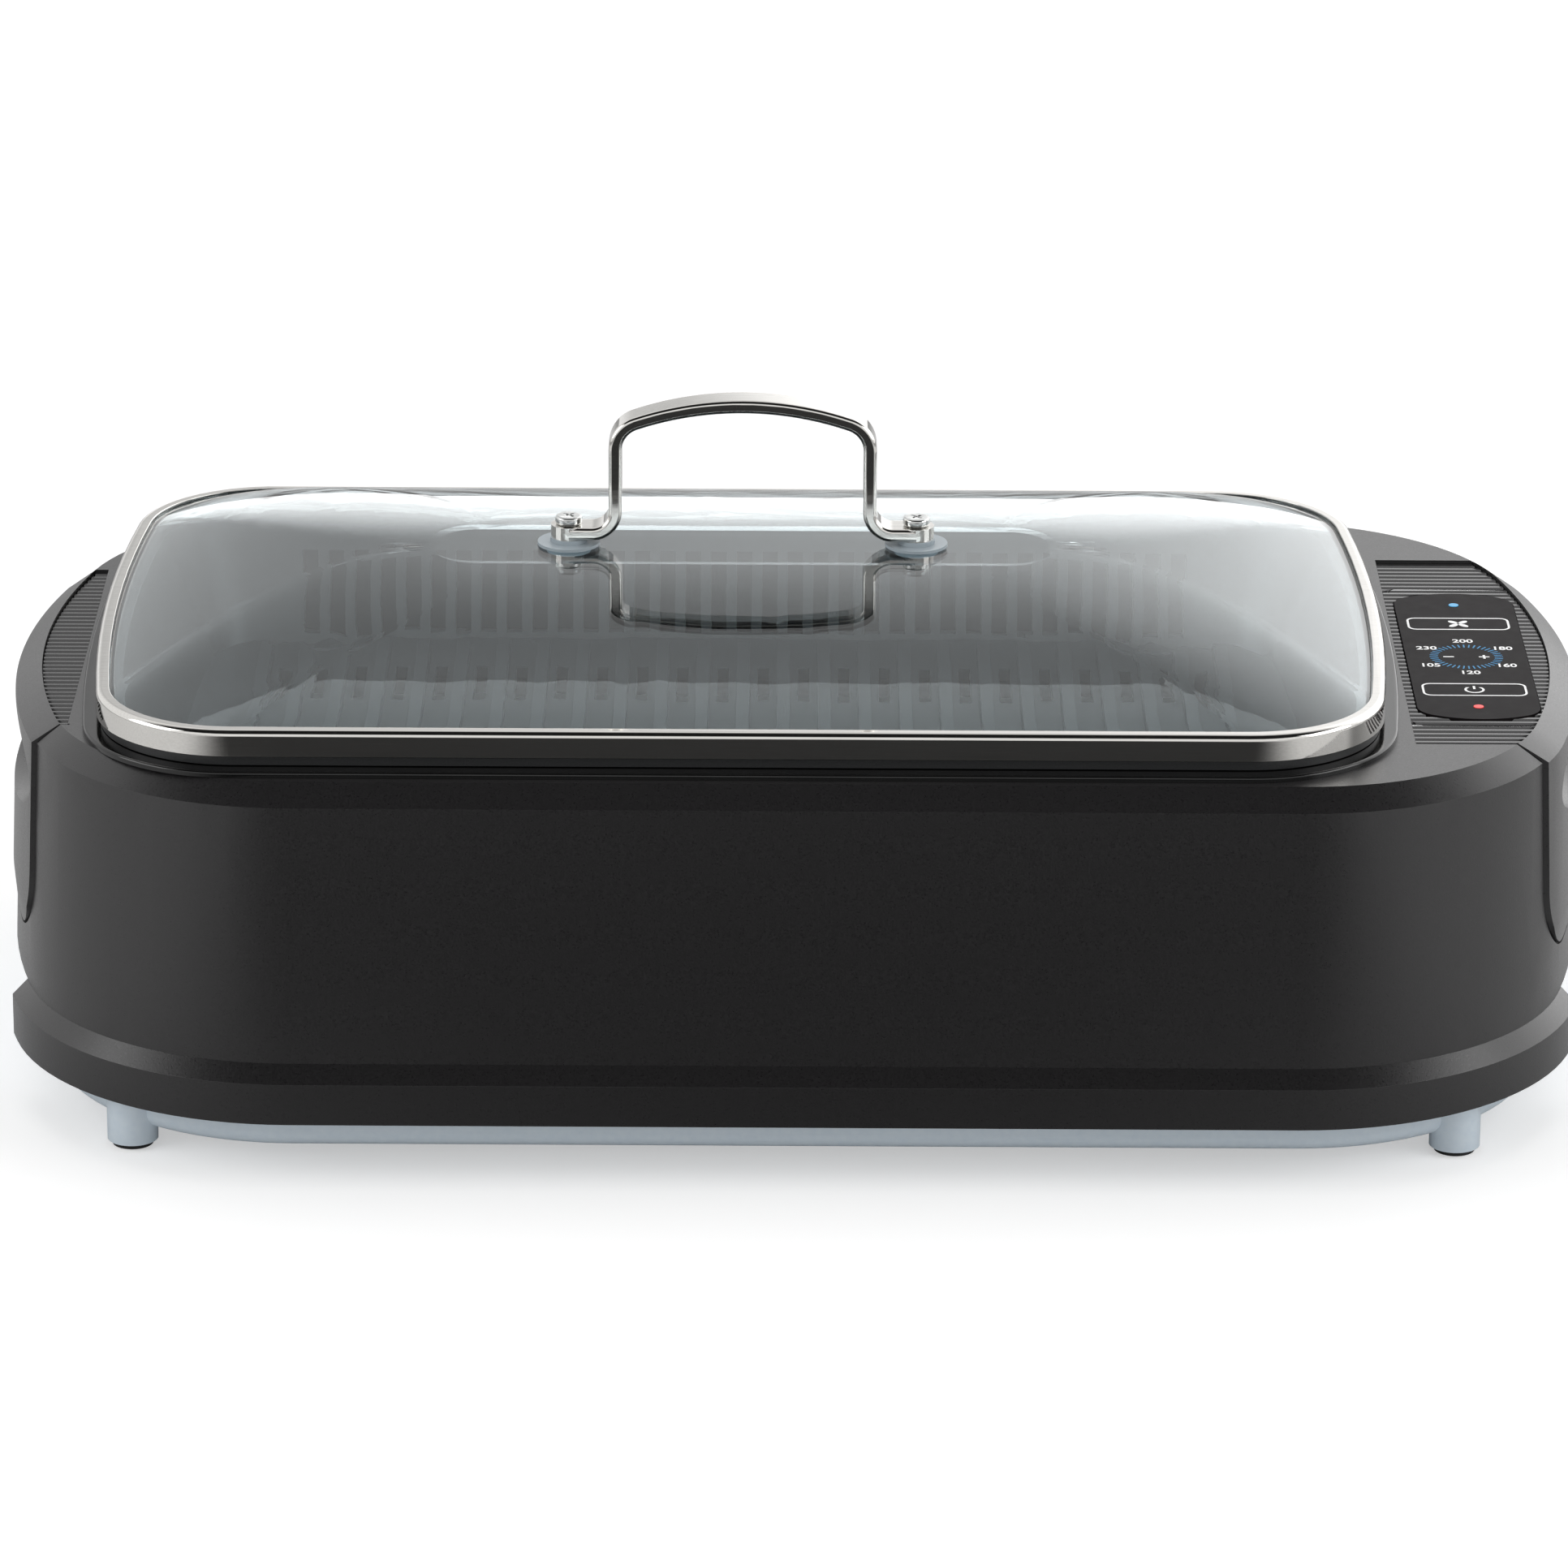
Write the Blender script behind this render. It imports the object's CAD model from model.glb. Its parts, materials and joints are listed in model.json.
# %% [markdown]
# # A smokeless countertop grill
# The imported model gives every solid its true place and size. This lesson dresses it: the camera
# and the studio come first, then one finish for each real material, then the edges, prints and
# pressings that the plain solids leave out.

# %% The frame
import json
import math
import bpy
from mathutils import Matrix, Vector

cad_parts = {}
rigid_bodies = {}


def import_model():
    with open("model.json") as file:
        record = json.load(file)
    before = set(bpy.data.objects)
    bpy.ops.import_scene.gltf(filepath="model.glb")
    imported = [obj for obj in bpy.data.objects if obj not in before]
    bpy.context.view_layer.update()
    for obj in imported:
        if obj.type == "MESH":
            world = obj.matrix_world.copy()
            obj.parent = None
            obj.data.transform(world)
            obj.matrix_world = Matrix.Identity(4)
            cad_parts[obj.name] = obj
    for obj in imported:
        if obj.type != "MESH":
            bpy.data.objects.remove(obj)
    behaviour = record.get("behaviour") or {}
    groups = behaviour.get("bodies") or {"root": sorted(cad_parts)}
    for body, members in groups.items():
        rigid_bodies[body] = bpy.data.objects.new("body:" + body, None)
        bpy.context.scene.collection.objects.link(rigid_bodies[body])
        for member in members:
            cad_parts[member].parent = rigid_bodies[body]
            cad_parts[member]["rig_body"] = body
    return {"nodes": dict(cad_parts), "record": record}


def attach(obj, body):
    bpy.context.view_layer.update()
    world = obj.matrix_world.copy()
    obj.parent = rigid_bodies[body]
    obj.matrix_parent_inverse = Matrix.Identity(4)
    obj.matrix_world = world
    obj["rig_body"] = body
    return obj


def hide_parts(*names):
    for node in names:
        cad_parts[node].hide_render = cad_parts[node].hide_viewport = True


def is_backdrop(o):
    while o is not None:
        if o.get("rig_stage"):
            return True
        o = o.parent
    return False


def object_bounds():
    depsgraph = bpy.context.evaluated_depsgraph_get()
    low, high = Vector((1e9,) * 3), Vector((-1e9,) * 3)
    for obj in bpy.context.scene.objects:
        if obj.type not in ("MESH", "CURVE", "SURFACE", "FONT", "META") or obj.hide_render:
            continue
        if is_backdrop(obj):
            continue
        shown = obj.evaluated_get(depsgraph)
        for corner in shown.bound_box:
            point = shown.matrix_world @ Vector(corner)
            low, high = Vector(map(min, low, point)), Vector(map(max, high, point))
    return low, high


MM = 0.001

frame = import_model()
cad_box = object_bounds()
nodes = frame["nodes"]
node_slot = {part["node"]: part["material_slot"] for part in frame["record"]["subparts"]}

# %% [markdown]
# ## Camera
# A long lens from well back, looking down by twenty degrees, keeps the long front almost free of
# perspective. The place and the small roll come from matching the feet, the deck and the handle.

# %% Camera
SENSOR, FOCAL_LENGTH = 36, 177
CAMERA_PLACE = (-0.0038, -2.4686, 0.9825)
CAMERA_TILT, CAMERA_ROLL = 70, 0.3
lens = bpy.data.cameras.new("camera")
lens.sensor_width = SENSOR
lens.lens = FOCAL_LENGTH
lens.clip_end = 60
camera = bpy.data.objects.new("camera", lens)
bpy.context.scene.collection.objects.link(camera)
camera.location = CAMERA_PLACE
camera.rotation_euler = (math.radians(CAMERA_TILT), 0, 0)
camera.rotation_euler.rotate_axis("Z", math.radians(CAMERA_ROLL))
bpy.context.scene.camera = camera
print("camera at", tuple(round(value, 3) for value in camera.location))

# %% [markdown]
# ## Helpers for finishes
# Colours are written as sRGB hex values, the way a designer notes them, and turned to linear light
# once. One function adds a node with its settings: a value fills a socket, another socket is linked.

# %% Colour and node helpers
# Colour sockets of a mix node, by number.
MIX_A, MIX_B, MIX_OUT = 6, 7, 2
# Part of a noise's values that spans its two tones.
NOISE_LOW, NOISE_HIGH = 0.3, 0.7


def linear(code):
    """Linear colour, with alpha, from an sRGB hex code."""
    channels = [int(code[place:place + 2], 16) / 255 for place in (1, 3, 5)]
    return [value / 12.92 if value <= 0.04045 else ((value + 0.055) / 1.055) ** 2.4
            for value in channels] + [1.0]


def add(tree, kind, sockets=None, **settings):
    """Add a node, set its properties, then fill or link its sockets by name or number."""
    node = tree.nodes.new(kind)
    for name, value in settings.items():
        setattr(node, name, value)
    for name, value in (sockets or {}).items():
        if isinstance(value, bpy.types.NodeSocket):
            tree.links.new(value, node.inputs[name])
        else:
            node.inputs[name].default_value = value
    return node


def start_finish(name):
    """A new material with an empty tree and its output node."""
    finish = bpy.data.materials.new(name)
    finish.use_nodes = True
    finish.node_tree.nodes.clear()
    output = add(finish.node_tree, "ShaderNodeOutputMaterial")
    return finish, finish.node_tree, output.inputs["Surface"]


def make_finish(name, tones, grain, gloss, depth=0.0, stretch=(1, 1, 1), shader=None):
    """A noise with a grain in mm mixes two tones and two roughnesses and lifts the surface by a depth."""
    finish, tree, surface = start_finish(name)
    place = add(tree, "ShaderNodeTexCoord").outputs["Object"]
    scaled = add(tree, "ShaderNodeMapping",
                 {"Vector": place, "Scale": [1 / (grain * part * MM) for part in stretch]})
    noise = add(tree, "ShaderNodeTexNoise", {"Vector": scaled.outputs[0], "Scale": 1, "Detail": 3})
    level = add(tree, "ShaderNodeMapRange",
                {"Value": noise.outputs["Fac"], "From Min": NOISE_LOW, "From Max": NOISE_HIGH})
    tone = add(tree, "ShaderNodeMix", {"Factor": level.outputs[0], MIX_A: linear(tones[0]),
                                       MIX_B: linear(tones[1])}, data_type="RGBA")
    rough = add(tree, "ShaderNodeMapRange",
                {"Value": level.outputs[0], "To Min": gloss[0], "To Max": gloss[1]})
    lift = add(tree, "ShaderNodeBump", {"Height": level.outputs[0], "Distance": depth * MM})
    sockets = {"Base Color": tone.outputs[MIX_OUT], "Roughness": rough.outputs[0], "Normal": lift.outputs[0]}
    skin = add(tree, "ShaderNodeBsdfPrincipled", sockets | (shader or {}))
    tree.links.new(skin.outputs[0], surface)
    return finish


print("mid grey is", round(linear("#808080")[0], 3), "in linear light")

# %% [markdown]
# ## Studio
# A product shot like this uses large soft boxes overhead and at both sides on a white sweep. The room
# is brightest behind to the right, which puts the grey sheen on the deck, and dimmer straight behind,
# which keeps the middle of the glass clear. A glow low behind whitens the far slope of the glass. Dark
# felt in front, out of the picture, gives the black front and the polished rim something dark to mirror.

# %% World
ROOM_LIGHT = 0.42
# Direction, start of the fade and change of light of each mirrored zone of the room.
ZONES = {
    "right_sheen": ((0.6, 0.75, 0.28), 0.7, 1.4),
    "dim_behind": ((0.05, 0.92, 0.4), 0.85, -0.4),
    "low_behind": ((0, 1, 0.06), 0.965, 1.0),
}
world = bpy.data.worlds.new("white_room")
bpy.context.scene.world = world
world.use_nodes = True
tree = world.node_tree
tree.nodes.clear()
rays = add(tree, "ShaderNodeLightPath").outputs
seen = add(tree, "ShaderNodeMath", {0: rays["Is Camera Ray"], 1: rays["Is Glossy Ray"]},
           operation="MAXIMUM")
seen = add(tree, "ShaderNodeMath", {0: seen.outputs[0], 1: rays["Is Transmission Ray"]},
           operation="MAXIMUM")
strength = add(tree, "ShaderNodeMapRange", {"Value": seen.outputs[0], "To Min": ROOM_LIGHT, "To Max": 1})
look = add(tree, "ShaderNodeTexCoord").outputs["Generated"]
for direction, start, change in ZONES.values():
    towards = add(tree, "ShaderNodeVectorMath", {0: look, 1: Vector(direction).normalized()},
                  operation="DOT_PRODUCT")
    fade = add(tree, "ShaderNodeMapRange",
               {"Value": towards.outputs["Value"], "From Min": start, "To Max": change},
               interpolation_type="SMOOTHSTEP")
    mirrored = add(tree, "ShaderNodeMath", {0: fade.outputs[0], 1: rays["Is Glossy Ray"]},
                   operation="MULTIPLY")
    strength = add(tree, "ShaderNodeMath", {0: strength.outputs[0], 1: mirrored.outputs[0]},
                   operation="ADD")
sky = add(tree, "ShaderNodeBackground", {"Color": linear("#ffffff"), "Strength": strength.outputs[0]})
add(tree, "ShaderNodeOutputWorld", {"Surface": sky.outputs[0]})
bpy.context.scene.view_settings.view_transform = "Standard"
print("the room lights with", ROOM_LIGHT)

# %% Soft boxes
AIM = Vector((0, 0, 0.1))
SOFT_BOXES = {
    "box_overhead": ((0, 0.45, 1.8), (1.9, 1.1), 11),
    "box_left": ((-1.35, -0.45, 0.75), (1.0, 0.8), 6),
    "box_right": ((1.35, -0.45, 0.75), (1.0, 0.8), 7),
    "box_front": ((0, -1.7, 0.4), (1.6, 0.4), 4.5),
}
for name, (place, spread, power) in SOFT_BOXES.items():
    lamp = bpy.data.lights.new(name, "AREA")
    lamp.shape = "RECTANGLE"
    lamp.size, lamp.size_y = spread
    lamp.energy = power
    holder = bpy.data.objects.new(name, lamp)
    holder.location = place
    holder.rotation_euler = (AIM - Vector(place)).to_track_quat("-Z", "Y").to_euler()
    holder.visible_camera = False
    holder.visible_glossy = name in ("box_left", "box_right")
    bpy.context.scene.collection.objects.link(holder)
print(len(SOFT_BOXES), "soft boxes")

# %% Floor and felt
FLOOR_GLOW, NEAR, FAR = 0.42, 0.7, 2.6
bpy.ops.object.select_all(action="DESELECT")
bpy.ops.mesh.primitive_plane_add(size=16)
floor = bpy.context.object
floor.name = "floor"
finish, tree, surface = start_finish("white_sweep")
rays = add(tree, "ShaderNodeLightPath").outputs
seen = add(tree, "ShaderNodeMath", {0: rays["Is Camera Ray"], 1: rays["Is Transmission Ray"]},
           operation="MAXIMUM")
away = add(tree, "ShaderNodeVectorMath", {0: add(tree, "ShaderNodeTexCoord").outputs["Object"]},
           operation="LENGTH")
lift = add(tree, "ShaderNodeMapRange", {"Value": away.outputs["Value"], "From Min": NEAR, "From Max": FAR,
                                        "To Min": FLOOR_GLOW, "To Max": 1})
glow = add(tree, "ShaderNodeMath", {0: seen.outputs[0], 1: lift.outputs[0]}, operation="MULTIPLY")
paper = add(tree, "ShaderNodeBsdfPrincipled",
            {"Base Color": linear("#e6e6e6"), "Roughness": 0.9, "Specular IOR Level": 0,
             "Emission Color": linear("#ffffff"), "Emission Strength": glow.outputs[0]})
tree.links.new(paper.outputs[0], surface)
floor.data.materials.append(finish)
floor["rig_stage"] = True

felt, tree, surface = start_finish("black_felt")
cloth = add(tree, "ShaderNodeBsdfPrincipled", {"Base Color": linear("#161616"), "Roughness": 1})
bare = add(tree, "ShaderNodeBsdfTransparent")
doubled = add(tree, "ShaderNodeMapping",
              {"Vector": add(tree, "ShaderNodeTexCoord").outputs["Object"], "Scale": (2, 2, 2)})
round_fade = add(tree, "ShaderNodeTexGradient", {"Vector": doubled.outputs[0]}, gradient_type="SPHERICAL")
cover = add(tree, "ShaderNodeMapRange", {"Value": round_fade.outputs["Fac"], "From Max": 0.5},
            interpolation_type="SMOOTHSTEP")
feathered = add(tree, "ShaderNodeMixShader", {0: cover.outputs[0], 1: bare.outputs[0], 2: cloth.outputs[0]})
tree.links.new(feathered.outputs[0], surface)
FELTS = {
    "felt_on_table": ((0, -0.9, 0.001), (1.1, 2.2)),
    "felt_overhead": ((0, -1.2, 2.3), (9, 4.8)),
}
for name, (place, spread) in FELTS.items():
    bpy.ops.mesh.primitive_plane_add(size=1, location=place)
    card = bpy.context.object
    card.name = name
    card.scale = (*spread, 1)
    card.data.materials.append(felt)
    card.visible_camera = card.visible_diffuse = card.visible_shadow = False
    card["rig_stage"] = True
print("floor with", len(FELTS), "felts")

# %% [markdown]
# ## Plastics and rubber
# The housing is injection-moulded ABS, its mould spark-eroded to a fine even grain. The inlays are
# moulded smoother, so their rib tops shine. The pan is polypropylene in a pale blue grey.

# %% Plastic finishes
finishes = {
    # Fine grain: near black when faced, a dull grey sheen at a low view.
    "housing_plastic": make_finish("spark_eroded_black_abs", ("#171617", "#1e1d1e"), 0.6, (0.27, 0.36), 0.010,
                                   shader={"Specular IOR Level": 0.7}),
    # Smoother moulding: each rib top carries a clear line of light.
    "ribbed_plastic": make_finish("satin_black_abs", ("#1c1b1c", "#242324"), 0.5, (0.14, 0.2),
                                  shader={"Specular IOR Level": 1}),
    # Pale filled polypropylene: soft, waxy light with hardly any grain.
    "pan_plastic": make_finish("blue_grey_polypropylene", ("#c8d4de", "#ced9e1"), 2.5, (0.36, 0.44), 0.01),
    # Dull rubber that swallows light.
    "foot_rubber": make_finish("black_rubber", ("#121212", "#1a1a1a"), 1.2, (0.6, 0.75), 0.02),
    # Printed film with a hard matt coat: deep flat black behind the marks.
    "panel_gloss": make_finish("hard_coated_black_film", ("#1c191a", "#1f1c1d"), 4, (0.4, 0.46),
                               shader={"Specular IOR Level": 0.03}),
    # Gloss moulding: a sharp bright line along its edge.
    "trim_gloss": make_finish("gloss_black_moulding", ("#0b0b0b", "#101010"), 20, (0.1, 0.14)),
    # Plain black mouldings inside the case.
    "component_black": make_finish("black_phenolic", ("#161616", "#222222"), 1.5, (0.4, 0.55), 0.01),
    "fan_plastic": make_finish("black_glass_filled_nylon", ("#18191a", "#232425"), 1.0, (0.42, 0.55), 0.015),
}
print(len(finishes), "plastic finishes")

# %% [markdown]
# ## Metals and ceramic
# The lid's rim and handle are polished stainless steel, the liner is rolled and blackened
# sheet, the drip tray is drawn aluminium, and the element's steel sheath has darkened with heat.

# %% Metal finishes
METAL = {"Metallic": 1}
finishes |= {
    # Mirror polish with faint lines along the strip: crisp dark and light bands.
    "lid_steel": make_finish("polished_stainless_steel", ("#d2d0cc", "#dedcd8"), 0.4, (0.05, 0.1), 0.0006,
                             (60, 1, 1), METAL),
    # Blackened sheet that hides smoke stains: dull, with long soft streaks.
    "liner_steel": make_finish("blackened_steel_sheet", ("#3a3a3b", "#484849"), 0.5, (0.3, 0.42), 0.002,
                               (40, 1, 1), METAL),
    # Drawn aluminium: pale and soft.
    "tray_aluminium": make_finish("drawn_aluminium", ("#c2c4c6", "#cfd0d1"), 1.2, (0.3, 0.42), 0.004,
                                  (12, 1, 1), METAL),
    # Sheath browned by heat in patches.
    "element_steel": make_finish("heat_browned_steel", ("#3f3a37", "#6d5f54"), 14, (0.34, 0.5), 0.004,
                                 shader=METAL),
    # Bright zinc on screws.
    "screw_steel": make_finish("zinc_plated_steel", ("#c6c8c8", "#d9dad8"), 0.8, (0.14, 0.24), 0.002,
                               shader=METAL),
    # Plain drawn can of the motor.
    "motor_steel": make_finish("zinc_coated_can", ("#a3a6a8", "#b9bbbc"), 3, (0.25, 0.4), 0.003, shader=METAL),
    # Dry-pressed ceramic: chalky.
    "socket_ceramic": make_finish("steatite_ceramic", ("#cfc7b6", "#ded8ca"), 0.9, (0.5, 0.62), 0.01),
    # Solder mask over glass weave.
    "board_green": make_finish("green_solder_mask", ("#164d2c", "#1f6339"), 0.7, (0.26, 0.36), 0.006),
    # Sprayed non-stick coat: near black, with a fine pebble.
    "plate_coating": make_finish("non_stick_coat", ("#1f2021", "#2b2c2d"), 0.5, (0.28, 0.4), 0.010),
}
print(len(finishes), "finishes so far")

# %% [markdown]
# ## Glass, silicone and lamps
# Tempered glass lets the lamps through, so that the plate inside is lit. The seals under the handle
# are milky silicone. The two lamps are small lenses with a light behind them.

# %% Clear finishes
glass, tree, surface = start_finish("tempered_glass")
body = add(tree, "ShaderNodeBsdfPrincipled",
           {"Base Color": linear("#e4eef1"), "Roughness": 0, "IOR": 1.45, "Transmission Weight": 1})
through = add(tree, "ShaderNodeBsdfTransparent", {"Color": linear("#e4eef1")})
rays = add(tree, "ShaderNodeLightPath").outputs
either = add(tree, "ShaderNodeMixShader",
             {0: rays["Is Shadow Ray"], 1: body.outputs[0], 2: through.outputs[0]})
tree.links.new(either.outputs[0], surface)
finishes["lid_glass"] = glass

LIT = {
    # Milky silicone: soft blue-white edges.
    "clear_silicone": ("milky_silicone", "#d3e0e8",
                       {"Transmission Weight": 0.45, "IOR": 1.41, "Roughness": 0.25}),
    # Lit lenses: colour that needs no lamp on it.
    "blue_lamp": ("blue_lit_lens", "#2f8fbe", {"Emission Strength": 0.5, "Roughness": 0.15}),
    "red_lamp": ("red_lit_lens", "#e02a25", {"Emission Strength": 0.5, "Roughness": 0.15}),
    # Screen prints with light behind them.
    "white_print": ("white_screen_print", "#e8e8e8", {"Emission Strength": 0.25}),
    "blue_print": ("blue_screen_print", "#2f7fae", {"Emission Strength": 0.25}),
}
for slot, (name, colour, sockets) in LIT.items():
    finish, tree, surface = start_finish(name)
    skin = add(tree, "ShaderNodeBsdfPrincipled",
               {"Base Color": linear(colour), "Emission Color": linear(colour)} | sockets)
    tree.links.new(skin.outputs[0], surface)
    finishes[slot] = finish
for name, solid in nodes.items():
    solid.data.materials.clear()
    solid.data.materials.append(finishes[node_slot[name]])
print("finishes on", len(nodes), "solids")

# %% [markdown]
# ## Softened edges
# No moulding or pressing has a knife edge: a small radius catches a line of light. A copy of the
# solid is welded, its flat faces are joined up again, and a narrow bevel runs along its edges.

# %% Softened copies
WELD, FLAT_ANGLE, EDGE_ANGLE = 0.01 * MM, math.radians(0.3), math.radians(28)


def choose(*pieces):
    """Select these pieces alone, the last one active."""
    bpy.ops.object.select_all(action="DESELECT")
    for piece in pieces:
        piece.select_set(True)
    bpy.context.view_layer.objects.active = pieces[-1]


def apply_modifier(piece, kind, **settings):
    """Add a modifier with its settings and apply it at once."""
    choose(piece)
    modifier = piece.modifiers.new(kind.lower(), kind)
    for name, value in settings.items():
        setattr(modifier, name, value)
    bpy.ops.object.modifier_apply(modifier=modifier.name)


def soften(name, radius, steps=2):
    """A copy of a solid with small round edges, which stands for it."""
    piece = bpy.data.objects.new(f"{name}_softened", nodes[name].data.copy())
    bpy.context.scene.collection.objects.link(piece)
    choose(piece)
    bpy.ops.object.mode_set(mode="EDIT")
    bpy.ops.mesh.select_all(action="SELECT")
    bpy.ops.mesh.remove_doubles(threshold=WELD)
    bpy.ops.mesh.dissolve_limited(angle_limit=FLAT_ANGLE)
    bpy.ops.object.mode_set(mode="OBJECT")
    apply_modifier(piece, "BEVEL", width=radius * MM, segments=steps, limit_method="ANGLE",
                   angle_limit=EDGE_ANGLE)
    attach(piece, nodes[name]["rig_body"])
    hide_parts(name)
    return piece


EDGE_RADII = {
    "upper_housing": 0.8, "skirt_front": 0.7, "skirt_rear": 0.7, "left_end_panel": 1.0,
    "right_end_panel": 1.0, "well_trim": 0.4, "bottom_pan": 0.6, "foot_pads": 0.6,
    "cord_gland": 0.4, "left_ribbed_inlay": 0.15,
    "right_ribbed_inlay": 0.15, "touch_panel": 0.15, "lid_rim": 0.25, "grill_plate": 0.5, "drip_tray": 0.3,
    "well_liner": 0.3, "terminal_head": 0.5, "element_socket": 0.4, "element_bars": 0.2, "fan_housing": 0.3,
    "fan_motor": 0.5, "board_components": 0.25, "handle_screws": 0.8,
    "lid_handle": 0.5,
}
soft = {name: soften(name, radius) for name, radius in EDGE_RADII.items()}
print(len(soft), "softened,", sum(len(piece.data.polygons) for piece in soft.values()), "faces")

# %% [markdown]
# ## Seam round the touch panel
# The panel sits in a carrier that drops into the ribbed inlay. Its joint shows as a thin dark line
# with cut corners to the left of the panel, and runs out along the ribs at the right. A narrow frame,
# made from a plane by cutting its corners and insetting it, is taken out of the inlay.

# %% Carrier seam
SEAM_GAP, SEAM_WIDTH, SEAM_DEPTH, SEAM_CUT = 6, 0.6, 1.4, 7


def box_of(name):
    """Lowest and highest corner of a solid."""
    corners = [nodes[name].matrix_world @ Vector(corner) for corner in nodes[name].bound_box]
    return (Vector([min(corner[axis] for corner in corners) for axis in range(3)]),
            Vector([max(corner[axis] for corner in corners) for axis in range(3)]))


def flat_frame(low, high, level, corner, steps, line, height):
    """A thin frame with shaped corners, between two corner points seen from above."""
    bpy.ops.object.select_all(action="DESELECT")
    bpy.ops.mesh.primitive_plane_add(size=1)
    piece = bpy.context.object
    piece.location = ((low[0] + high[0]) / 2, (low[1] + high[1]) / 2, level)
    piece.scale = (high[0] - low[0], high[1] - low[1], 1)
    bpy.ops.object.transform_apply(location=True, rotation=False, scale=True)
    bpy.ops.object.mode_set(mode="EDIT")
    bpy.ops.mesh.select_all(action="SELECT")
    bpy.ops.mesh.bevel(offset=corner, segments=steps, affect="VERTICES")
    bpy.ops.mesh.select_all(action="SELECT")
    bpy.ops.mesh.inset(thickness=line)
    bpy.ops.mesh.delete(type="FACE")
    bpy.ops.mesh.select_all(action="SELECT")
    bpy.ops.mesh.extrude_region_move(TRANSFORM_OT_translate={"value": (0, 0, height)})
    bpy.ops.mesh.select_all(action="SELECT")
    bpy.ops.mesh.normals_make_consistent(inside=False)
    bpy.ops.object.mode_set(mode="OBJECT")
    return piece


panel_low, panel_high = box_of("touch_panel")
inlay_low, inlay_high = box_of("right_ribbed_inlay")
margin = SEAM_GAP * MM
seam_low = (panel_low.x - margin, panel_low.y - margin)
seam_high = (inlay_high.x + 4 * margin, panel_high.y + margin)
cutter = flat_frame(seam_low, seam_high, inlay_high.z - SEAM_DEPTH * MM, SEAM_CUT * MM, 1, SEAM_WIDTH * MM,
                    2 * SEAM_DEPTH * MM)
inlay = soft["right_ribbed_inlay"]
faces_before = len(inlay.data.polygons)
apply_modifier(inlay, "BOOLEAN", object=cutter, operation="DIFFERENCE", solver="EXACT")
bpy.data.objects.remove(cutter)
print("seam cut:", faces_before, "to", len(inlay.data.polygons), "faces")

# %% [markdown]
# ## Screw heads on the handle
# Pan-head screws hold the strap. Their edge is already rounded, and two crossed bars cut the recess
# that a driver turns.

# %% Cross recess
RECESS_LENGTH, RECESS_WIDTH, RECESS_DEPTH = 4.6, 1.0, 1.3
screw_low, screw_high = box_of("handle_screws")
head_reach = (screw_high.y - screw_low.y) / 2
bars = []
for centre_x in (screw_low.x + head_reach, screw_high.x - head_reach):
    for turn in (45, 135):
        bpy.ops.object.select_all(action="DESELECT")
        bpy.ops.mesh.primitive_cube_add(size=1, location=(centre_x, 0, screw_high.z),
                                        rotation=(0, 0, math.radians(turn)))
        bar = bpy.context.object
        bar.scale = (RECESS_LENGTH * MM, RECESS_WIDTH * MM, 2 * RECESS_DEPTH * MM)
        bars.append(bar)
for bar in bars:
    apply_modifier(soft["handle_screws"], "BOOLEAN", object=bar, operation="DIFFERENCE", solver="EXACT")
    bpy.data.objects.remove(bar)
print("recesses cut in", len(bars) // 2, "screw heads")

# %% [markdown]
# ## Smooth shading
# Round edges shade smoothly into the flats beside them. Weighted normals let each broad flat keep its
# own direction, so that only the narrow edge turns the light.

# %% Weighted normals
SMOOTH_ANGLE = math.radians(40)
for piece in soft.values():
    choose(piece)
    bpy.ops.object.shade_smooth_by_angle(angle=SMOOTH_ANGLE)
    apply_modifier(piece, "WEIGHTED_NORMAL", keep_sharp=True, weight=100)
print(len(soft), "pieces shaded")

# %% [markdown]
# ## Marks on the touch panel
# The panel is one flush film with touch fields under it, so its marks are screen prints: a frame for
# the fan, a ring of ticks with plain numbers for the heat, minus and plus inside it, and a frame for
# the power. Each print is a film of ink a few hundredths of a millimetre thick.

# %% Ink helpers
INK = 0.04 * MM
INK_LEVEL = panel_high.z + INK / 2
panel_mid = (panel_low + panel_high) / 2


def print_on_panel(name, finish, *marks):
    """Join marks into one print that rides with the panel."""
    choose(*marks)
    bpy.ops.object.transform_apply(location=True, rotation=True, scale=True)
    bpy.ops.object.join()
    piece = bpy.context.object
    piece.name = name
    piece.data.materials.clear()
    piece.data.materials.append(finishes[finish])
    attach(piece, nodes["touch_panel"]["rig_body"])
    return piece


def bar_mark(x, y, width, height, turn=0):
    """One straight bar of ink, in mm from the panel's middle."""
    bpy.ops.object.select_all(action="DESELECT")
    place = (panel_mid.x + x * MM, panel_mid.y + y * MM, INK_LEVEL)
    bpy.ops.mesh.primitive_cube_add(size=1, location=place, rotation=(0, 0, turn))
    bar = bpy.context.object
    bar.scale = (width * MM, height * MM, INK)
    return bar


print("ink on", round(panel_high.z / MM, 2), "mm")

# %% Heat dial
DIAL_Y, DIAL_RADIUS = -2, 11
TICKS, TICK_LENGTH, TICK_WIDTH = 40, 2.8, 0.5
ticks = []
for index in range(TICKS):
    turn = 2 * math.pi * index / TICKS
    ticks.append(bar_mark(DIAL_RADIUS * math.cos(turn), DIAL_Y + DIAL_RADIUS * math.sin(turn),
                          TICK_LENGTH, TICK_WIDTH, turn))
print_on_panel("dial_ticks", "blue_print", *ticks)

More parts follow.
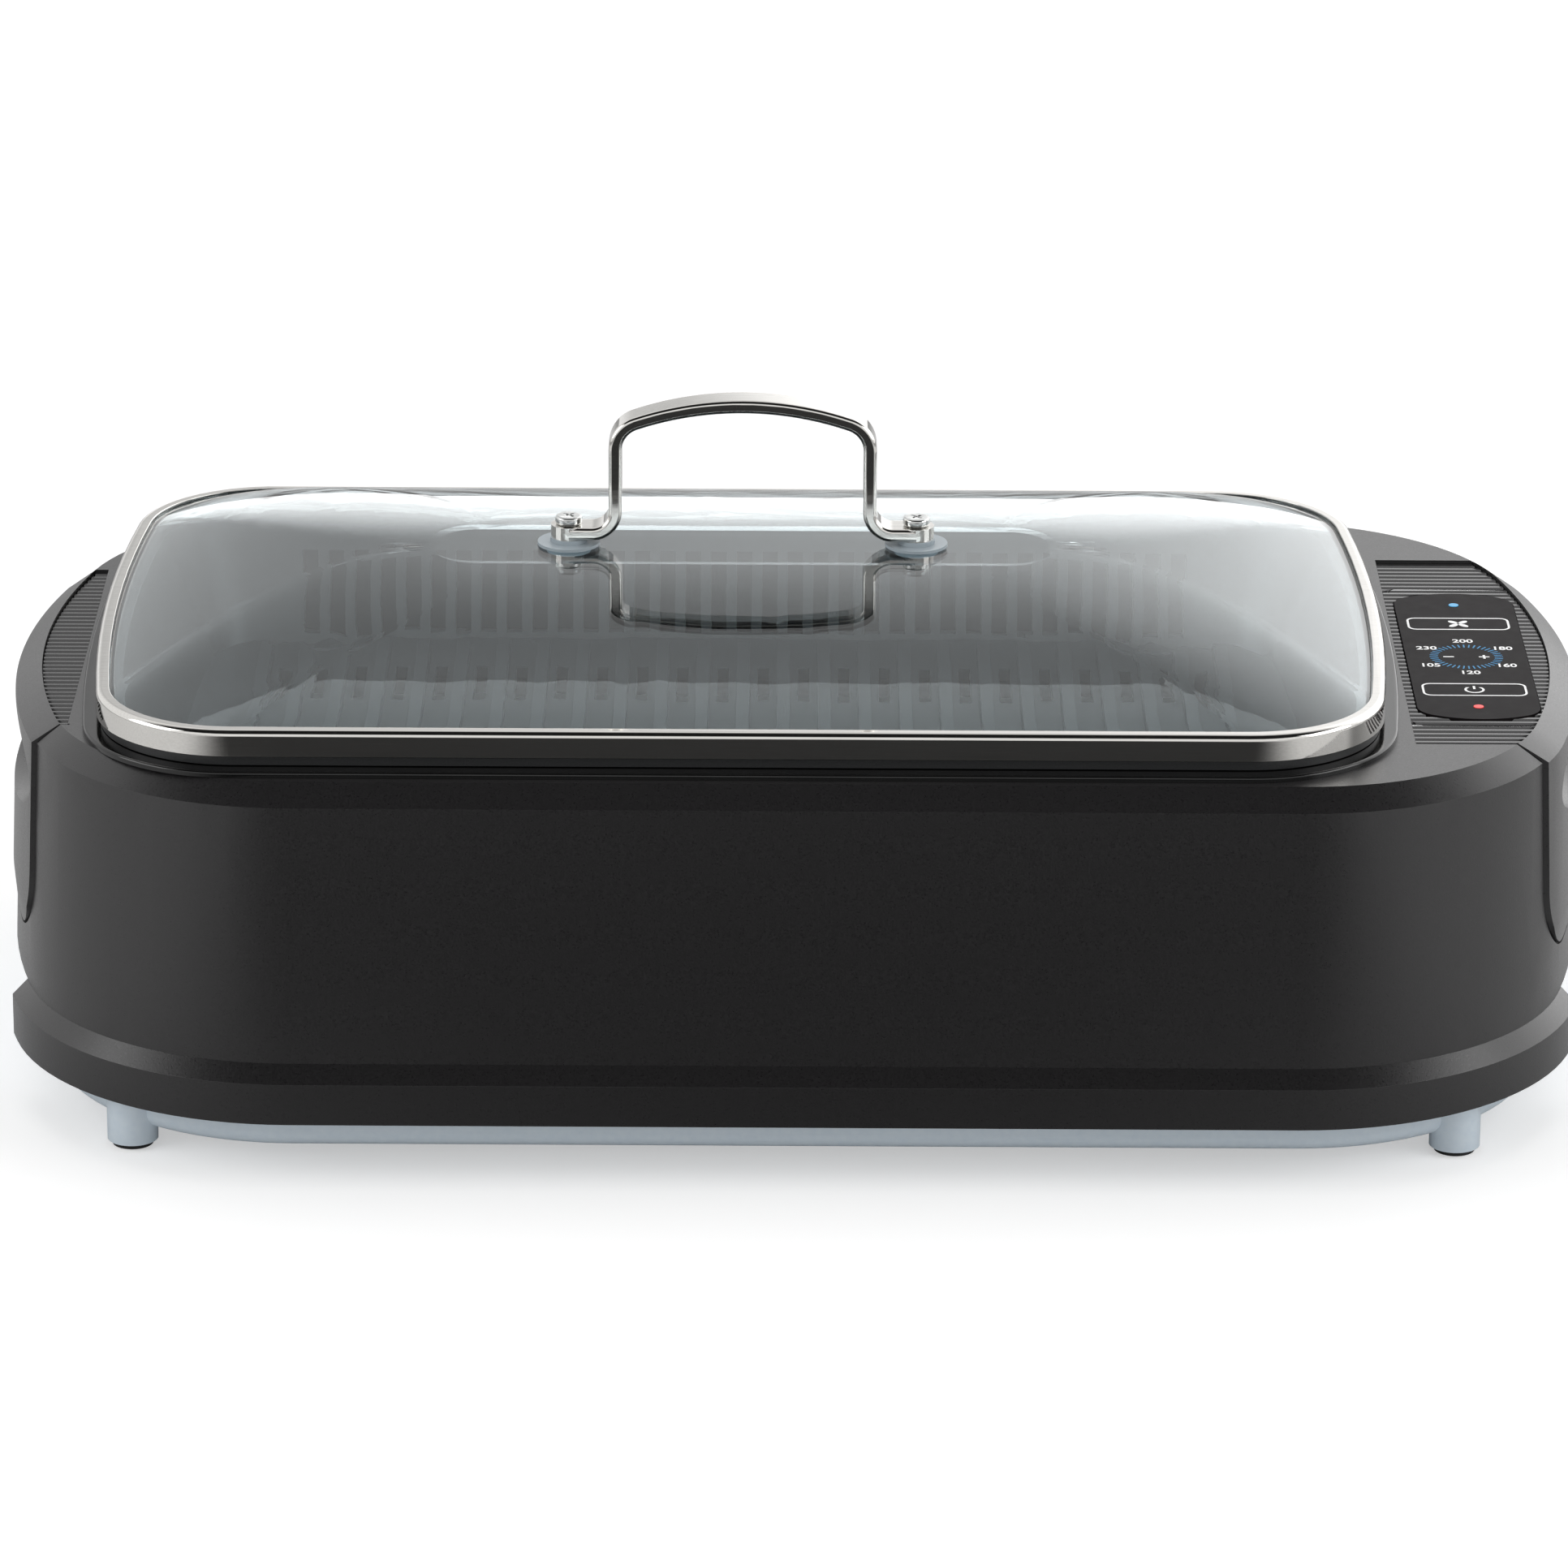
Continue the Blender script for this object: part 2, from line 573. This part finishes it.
SIGN_X, SIGN_LENGTH, SIGN_LINE = 6, 3.6, 0.8
NUMBER_SIZE, NUMBER_BOLD, NUMBER_X, NUMBER_Y = 4.7, 0.1, 15.3, 16.2
signs = [bar_mark(-SIGN_X, DIAL_Y, SIGN_LENGTH, SIGN_LINE), bar_mark(SIGN_X, DIAL_Y, SIGN_LENGTH, SIGN_LINE),
         bar_mark(SIGN_X, DIAL_Y, SIGN_LINE, SIGN_LENGTH)]
# Each number and its direction from the dial's middle.
NUMBERS = {"200": 90, "180": 33, "160": -33, "120": -90, "105": 213, "230": 147}
for text, direction in NUMBERS.items():
    bpy.ops.object.select_all(action="DESELECT")
    bpy.ops.object.text_add()
    number = bpy.context.object
    number.data.body = text
    number.data.size = NUMBER_SIZE * MM
    number.data.offset = NUMBER_BOLD * MM
    number.data.align_x = "CENTER"
    number.data.align_y = "CENTER"
    number.data.extrude = INK / 2
    bpy.ops.object.convert(target="MESH")
    number = bpy.context.object
    turn = math.radians(direction)
    number.location = (panel_mid.x + NUMBER_X * MM * math.cos(turn),
                       panel_mid.y + (DIAL_Y + NUMBER_Y * math.sin(turn)) * MM, INK_LEVEL)
    signs.append(number)
print_on_panel("dial_numbers", "white_print", *signs)
print(TICKS, "ticks and", len(NUMBERS), "numbers")

# %% Fan and power fields
FIELD_WIDTH, FIELD_HEIGHT, FIELD_CORNER, FIELD_LINE = 35, 12.5, 3, 0.75
FAN_Y, POWER_Y = 32.5, -35.5
BLADES, BLADE_OUT, BLADE_LENGTH, BLADE_WIDTH = 4, 2.4, 2, 1.05
RING_RADIUS, RING_LINE, RING_OPENING = 3, 0.8, 2.2
STEM_Y, STEM_LINE, STEM_LENGTH = 2, 0.8, 3
fields = []
for field_y in (FAN_Y, POWER_Y):
    low = (panel_mid.x - FIELD_WIDTH / 2 * MM, panel_mid.y + (field_y - FIELD_HEIGHT / 2) * MM)
    high = (panel_mid.x + FIELD_WIDTH / 2 * MM, panel_mid.y + (field_y + FIELD_HEIGHT / 2) * MM)
    fields.append(flat_frame(low, high, panel_high.z, FIELD_CORNER * MM, 4, FIELD_LINE * MM, INK))
for index in range(BLADES):
    turn = math.pi / 4 + 2 * math.pi / BLADES * index
    bpy.ops.object.select_all(action="DESELECT")
    bpy.ops.mesh.primitive_cylinder_add(
        vertices=24, radius=1, depth=1, rotation=(0, 0, turn),
        location=(panel_mid.x + BLADE_OUT * math.cos(turn) * MM,
                  panel_mid.y + (FAN_Y + BLADE_OUT * math.sin(turn)) * MM, INK_LEVEL))
    bpy.context.object.scale = (BLADE_LENGTH * MM, BLADE_WIDTH * MM, INK)
    fields.append(bpy.context.object)
bpy.ops.object.select_all(action="DESELECT")
bpy.ops.mesh.primitive_torus_add(major_radius=RING_RADIUS * MM, minor_radius=RING_LINE / 2 * MM,
                                 major_segments=40, minor_segments=8,
                                 location=(panel_mid.x, panel_mid.y + POWER_Y * MM, INK_LEVEL))
ring = bpy.context.object
ring.scale = (1, 1, INK / (RING_LINE * MM))
bpy.ops.object.transform_apply(location=True, rotation=True, scale=True)
bpy.ops.object.mode_set(mode="EDIT")
bpy.ops.mesh.select_all(action="SELECT")
bpy.ops.mesh.bisect(plane_co=(0, panel_mid.y + (POWER_Y + RING_OPENING) * MM, 0), plane_no=(0, 1, 0),
                    clear_outer=True, use_fill=True)
bpy.ops.object.mode_set(mode="OBJECT")
fields += [ring, bar_mark(0, POWER_Y + STEM_Y, STEM_LINE, STEM_LENGTH)]
print_on_panel("touch_fields", "white_print", *fields)
print("touch fields joined from", len(fields), "marks")

# %% [markdown]
# ## Sizes
# The dressed model has to stay inside the box of the solids. Both boxes are written down, in metres.

# %% Sizes and finish
visual_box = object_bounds()
past = max(max(cad_box[0][i] - visual_box[0][i], visual_box[1][i] - cad_box[1][i]) for i in range(3))
print("furthest past the solids:", round(past / MM, 3), "mm")
